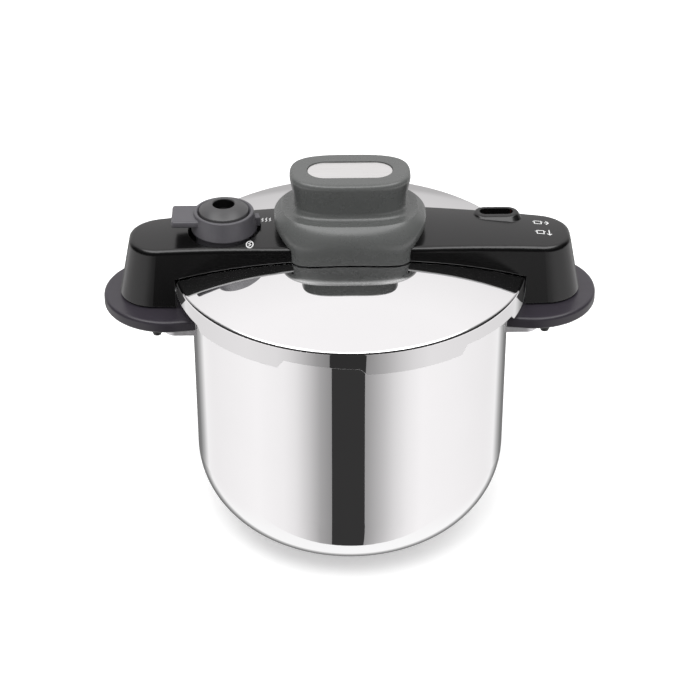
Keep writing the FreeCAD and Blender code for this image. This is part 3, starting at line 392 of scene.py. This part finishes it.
def make_spring(name, node, body, wire, turns, steel):
    """Helical spring in place of the CAD's plain sleeve, parented to its body."""
    low, high = (Vector(corner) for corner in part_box(node))
    centre, length = (low + high) / 2, high.z - low.z
    mean_radius = (high.x - low.x - wire) / 2
    mesh = bmesh.new()
    rings = []
    for step in range(turns * STEPS_PER_TURN + 1):
        turn = step / STEPS_PER_TURN
        angle = 2 * math.pi * turn
        outward = Vector((math.cos(angle), math.sin(angle), 0))
        core = Vector((centre.x, centre.y, low.z)) + outward * mean_radius
        core.z += coil_height(turn, turns, wire, length)
        ring = []
        for side in range(WIRE_SIDES):
            around = 2 * math.pi * side / WIRE_SIDES
            offset = outward * math.cos(around) + Vector((0, 0, math.sin(around)))
            ring.append(mesh.verts.new(core + offset * wire / 2))
        rings.append(ring)
    for ring, following in zip(rings, rings[1:]):
        for side in range(WIRE_SIDES):
            other = (side + 1) % WIRE_SIDES
            mesh.faces.new((ring[side], following[side], following[other], ring[other]))
    mesh.faces.new(rings[0])
    mesh.faces.new(reversed(rings[-1]))
    bmesh.ops.recalc_face_normals(mesh, faces=mesh.faces)
    for face in mesh.faces:
        face.smooth = True
    data = bpy.data.meshes.new(name)
    mesh.to_mesh(data)
    mesh.free()
    data.materials.append(steel)
    spring = add_object(name, data)
    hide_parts(node)
    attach(spring, body)
    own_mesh(spring)


# ----------------------------------------------------------------------------
# Pad-printed signs on the bridge bar
# ----------------------------------------------------------------------------
def ring_stroke(x, y, half_x, half_y, start=0, end=360, steps=20):
    """Points of an elliptical arc, in the sign's own plane."""
    angles = [math.radians(start + (end - start) * step / steps) for step in range(steps + 1)]
    return [(x + half_x * math.cos(a), y + half_y * math.sin(a)) for a in angles]


POT_SIGN = [
    [(-2.4, 2.2), (-2.4, -2.0), (2.4, -2.0), (2.4, 2.2), (-2.4, 2.2)],
    [(-2.4, 1.0), (-3.6, 1.0)],
    [(2.4, 1.0), (3.6, 1.0)],
]
SIGNS = {
    "sign_steam": ((-58.6, 9.0), [
        [(-2.6, -2.6), (-1.6, -0.8), (-2.6, 0.8), (-1.6, 2.6)],
        [(0.0, -3.2), (1.0, -1.0), (0.0, 0.8), (1.0, 3.0)],
        [(2.6, -2.6), (3.6, -0.8), (2.6, 0.8), (3.6, 2.6)]]),
    "sign_cook": ((-69.0, -23.1), [
        ring_stroke(0, 0, 2.3, 3.8),
        [(-1.0, -2.3), (0.9, -0.5), (-0.9, 0.8), (1.0, 2.4)]]),
    "sign_lock": ((131.4, 9.6), POT_SIGN + [
        [(5.6, 2.6), (7.6, 0.0), (5.6, -2.6)],
        [(7.6, 0.0), (4.6, 0.0)]]),
    "sign_unlock": ((132.0, -4.6), POT_SIGN + [
        [(6.2, 3.6), (6.2, -3.4)],
        [(4.6, -1.4), (6.2, -3.4), (7.8, -1.4)]]),
}
SIGN_STROKE = 0.75 * MM
SIGN_LIFT = 0.05 * MM
SIGN_STEP = 0.8 * MM
RAY_TOP = 0.3


def surface_under(tree, x, y):
    """Point of a mesh straight under (x, y), lifted by the ink's thickness.

    A ray that meets a mesh edge exactly can miss it, so a nudged ray is tried next.
    """
    for nudge in (0.0, 0.02 * MM, 0.05 * MM):
        hit = tree.ray_cast(Vector((x + nudge, y + nudge, RAY_TOP)), Vector((0, 0, -1)))[0]
        if hit:
            return Vector((x, y, hit.z + SIGN_LIFT))
    raise RuntimeError(f"no cover under {x:.4f}, {y:.4f}")


def ribbon(mesh, cover, stroke):
    """A strip of ink along a stroke, laid on the cover; mitred at the bends."""
    count = len(stroke)
    rails = []
    for index in range(count):
        here = Vector(stroke[index])
        before = Vector(stroke[max(index - 1, 0)])
        after = Vector(stroke[min(index + 1, count - 1)])
        along = (after - before).normalized()
        side = Vector((-along.y, along.x)) * SIGN_STROKE / 2
        rails.append([mesh.verts.new(surface_under(cover, here.x + s * side.x,
                                                   here.y + s * side.y)) for s in (-1, 1)])
    for (left, right), (next_left, next_right) in zip(rails, rails[1:]):
        mesh.faces.new((left, next_left, next_right, right))


def subdivided(stroke, step):
    """The same stroke with extra points, no further apart than a step."""
    points = [stroke[0]]
    for start, end in zip(stroke, stroke[1:]):
        pieces = max(1, math.ceil(math.dist(start, end) / step))
        points += [tuple(a + (b - a) * part / pieces for a, b in zip(start, end))
                   for part in range(1, pieces + 1)]
    return points


def make_signs(ink):
    node = NODES["bridge_cover"]
    cover = BVHTree.FromPolygons([node.matrix_world @ vertex.co for vertex in node.data.vertices],
                                 [tuple(face.vertices) for face in node.data.polygons])
    for name, ((x, y), strokes) in SIGNS.items():
        mesh = bmesh.new()
        for stroke in strokes:
            placed = [((x + u) * MM, (y + v) * MM) for u, v in stroke]
            ribbon(mesh, cover, subdivided(placed, SIGN_STEP))
        data = bpy.data.meshes.new(name)
        mesh.to_mesh(data)
        mesh.free()
        data.materials.append(ink)
        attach(add_object(name, data), "lid")


# ----------------------------------------------------------------------------
# Studio: floor, sky painted by direction, soft lamps, camera
# ----------------------------------------------------------------------------
CAMERA_ELEVATION = 32.2
CAMERA_AZIMUTH = -1.2
CAMERA_DISTANCE = 1.481
CAMERA_AIM_HEIGHT = 0.130
CAMERA_LENS = 105.9


def make_camera():
    elevation, azimuth = math.radians(CAMERA_ELEVATION), math.radians(CAMERA_AZIMUTH)
    back = Vector((math.sin(azimuth) * math.cos(elevation),
                   -math.cos(azimuth) * math.cos(elevation),
                   math.sin(elevation)))
    data = bpy.data.cameras.new("camera")
    data.lens = CAMERA_LENS
    data.sensor_width = 36.0
    data.clip_start = 0.05
    camera = add_object("camera", data)
    camera.location = Vector((0, 0, CAMERA_AIM_HEIGHT)) + back * CAMERA_DISTANCE
    camera.rotation_mode = "QUATERNION"
    camera.rotation_quaternion = (-back).to_track_quat("-Z", "Y")
    bpy.context.scene.camera = camera


def reflected_azimuth(tree, axes):
    """Azimuth from the front of the wall that mirrors this direction into the lens, 0 to 1.

    For a polished wall seen by the camera, a ray that leaves it along (x, y) left a face
    whose normal has this azimuth, however far that face leans.
    """
    toward = tree.math("SUBTRACT", math.cos(math.radians(CAMERA_ELEVATION)), axes["Y"])
    turn = tree.math("ARCTAN2", axes["X"], toward)
    return tree.math("ADD", tree.math("DIVIDE", turn, 2 * math.pi), 0.5)


BAND_LEFT, BAND_RIGHT, BAND_LEVEL = -7.1, 4.75, 0.036
HORIZON = -3.0
SIDE_FADE = (0.35, 0.75)
BAND_REACH = -0.11
STRIP_BOOST = 3.0
EVEN_STRENGTH = 1.35


def make_world():
    """Two skies: camera and diffuse rays see an even pale one, all others a white tent with
    dark cards. The dark band in the tent is placed for the photo's camera.
    """
    world = bpy.data.worlds.new("studio")
    world.use_nodes = True
    bpy.context.scene.world = world
    tree = Tree(world.node_tree)
    direction = tree.add("ShaderNodeTexCoord").outputs["Generated"]
    axes = tree.add("ShaderNodeSeparateXYZ", {"Vector": direction}).outputs
    turn = reflected_azimuth(tree, axes)
    rise = tree.math("ADD", tree.math("DIVIDE", tree.math("ARCSINE", axes["Z"]), math.pi), 0.5)

    def at(degrees):
        return degrees / 360 + 0.5

    def up(degrees):
        return degrees / 180 + 0.5

    def pinkish(level):
        return (level, level * 0.985, level * 0.99)

    wall = tree.ramp(turn, [(at(angle), pinkish(level)) for angle, level in (
        (-180, 1.0), (-85, 0.86), (-60, 0.90), (-36, 0.98), (-25, 0.93), (-20.4, 0.84),
        (-15.7, 0.63), (-11.2, 0.40), (-7.1, 0.29), (4.8, 0.33),
        (11.2, 0.55), (15.7, 0.74), (20.4, 0.89), (26, 0.98), (41, 0.95), (63, 0.88), (85, 0.86),
        (180, 1.0))])
    band = tree.math("MULTIPLY", tree.math("GREATER_THAN", turn, at(BAND_LEFT)),
                     tree.math("LESS_THAN", turn, at(BAND_RIGHT)))
    wall = tree.mix(band, wall, (*pinkish(BAND_LEVEL), 1.0))
    forward = tree.math("MULTIPLY", axes["Y"], math.cos(math.radians(CAMERA_ELEVATION)))
    downward = tree.math("MULTIPLY", axes["Z"], math.sin(math.radians(CAMERA_ELEVATION)))
    grazing = tree.math("SUBTRACT", forward, downward)
    outline = tree.ramp(grazing, [(0.80, 1.0), (0.87, 0.50), (0.93, 0.22), (1.0, 0.16)])
    aside = tree.math("ABSOLUTE", axes["X"])
    ahead = tree.span(aside, *SIDE_FADE, 1.0, 0.0, smooth=True)
    past_band = tree.math("MULTIPLY", ahead, tree.math("GREATER_THAN", axes["Y"], BAND_REACH))
    low = tree.mix(past_band, wall, WHITE)
    low = tree.mix(1.0, low, outline, "MULTIPLY")

    front = tree.ramp(rise, [(0.0, 0.02), (up(28), 0.02), (up(34), 0.09), (up(46), 0.15),
                             (up(56), 1.0), (1.0, 1.0)])
    strip = tree.ramp(rise, [(0.0, 0.0), (up(52), 0.0), (up(58), 1.0), (up(74), 1.0),
                             (up(80), 0.0), (1.0, 0.0)])
    behind = tree.ramp(rise, [(position, pinkish(level)) for position, level in (
        (0.0, 0.38), (up(0), 0.48), (up(3), 0.64), (up(22), 0.76), (up(36), 0.88),
        (up(52), 0.98), (1.0, 0.98))])
    heading = tree.math("ARCTAN2", axes["X"], tree.math("MULTIPLY", axes["Y"], -1.0))
    heading = tree.math("ADD", tree.math("DIVIDE", heading, 2 * math.pi), 0.5)
    back_share = tree.ramp(heading, [
        (0.0, 1.0), (at(-136), 1.0), (at(-112), 0.0), (at(112), 0.0), (at(136), 1.0), (1.0, 1.0)])
    high = tree.mix(back_share, front, behind)
    above = tree.math("GREATER_THAN", axes["Z"], math.sin(math.radians(HORIZON)))
    lit = tree.math("MULTIPLY", strip, tree.math("SUBTRACT", 1.0, back_share))
    strength = tree.math("ADD", 1.0, tree.math("MULTIPLY", lit, STRIP_BOOST))
    mirrored = tree.add("ShaderNodeBackground", {"Color": tree.mix(above, low, high),
                                                 "Strength": strength})
    overhead = tree.ramp(rise, [(0.0, 0.36), (up(0), 0.42), (up(35), 0.62), (up(65), 1.0),
                                (1.0, 1.0)])
    path = tree.add("ShaderNodeLightPath").outputs
    backdrop = tree.mix(path["Is Camera Ray"], overhead, WHITE)
    even = tree.add("ShaderNodeBackground", {"Color": backdrop, "Strength": EVEN_STRENGTH})
    matt = tree.math("MAXIMUM", path["Is Camera Ray"], path["Is Diffuse Ray"])
    chosen = tree.add("ShaderNodeMixShader", {
        0: matt, 1: mirrored.outputs[0], 2: even.outputs[0]})
    output = tree.add("ShaderNodeOutputWorld")
    tree.tree.links.new(chosen.outputs[0], output.inputs["Surface"])


FLOOR_HALF = 12.0
FLOOR_GLOW = 0.22


def make_floor():
    half = FLOOR_HALF
    mesh = bpy.data.meshes.new("floor")
    mesh.from_pydata([(-half, -half, 0), (half, -half, 0), (half, half, 0), (-half, half, 0)], [],
                     [(0, 1, 2, 3)])
    floor = add_object("floor", mesh)
    material, tree, shader, place = new_material("floor_paper")
    speck = tree.noise(place, 30.0, 3.0, 0.5)
    tree.feed(shader.inputs["Base Color"],
              tree.mix(speck, (0.93, 0.93, 0.93, 1.0), (0.95, 0.95, 0.95, 1.0)))
    shader.inputs["Roughness"].default_value = 0.9
    shader.inputs["Specular IOR Level"].default_value = 0.1
    shader.inputs["Emission Color"].default_value = WHITE
    shader.inputs["Emission Strength"].default_value = FLOOR_GLOW
    mesh.materials.append(material)
    floor.visible_glossy = False
    floor.visible_diffuse = False


LAMP_AIM = (0, 0, 0.15)


def make_lamp(name, place, size, power):
    data = bpy.data.lights.new(name, "AREA")
    data.shape = "DISK"
    data.size = size
    data.energy = power
    lamp = add_object(name, data)
    lamp.location = place
    lamp.rotation_mode = "QUATERNION"
    lamp.rotation_quaternion = (Vector(LAMP_AIM) - Vector(place)).to_track_quat("-Z", "Y")
    lamp.visible_glossy = False


make_camera()
make_world()
make_floor()
make_lamp("key", (-0.5, -1.1, 2.6), size=1.4, power=16.0)
make_lamp("fill", (1.6, -1.0, 1.6), size=1.8, power=4.0)
bpy.context.scene.view_settings.view_transform = "Standard"

materials = make_materials()
finish_cad_nodes(materials)
make_spring("valve_coil", "valve_spring", "operating_valve",
            wire=0.9 * MM, turns=6, steel=materials["spring_steel"])
make_spring("safety_coil", "safety_spring", "lid",
            wire=0.6 * MM, turns=6, steel=materials["spring_steel"])
make_signs(printed_white("print_white"))
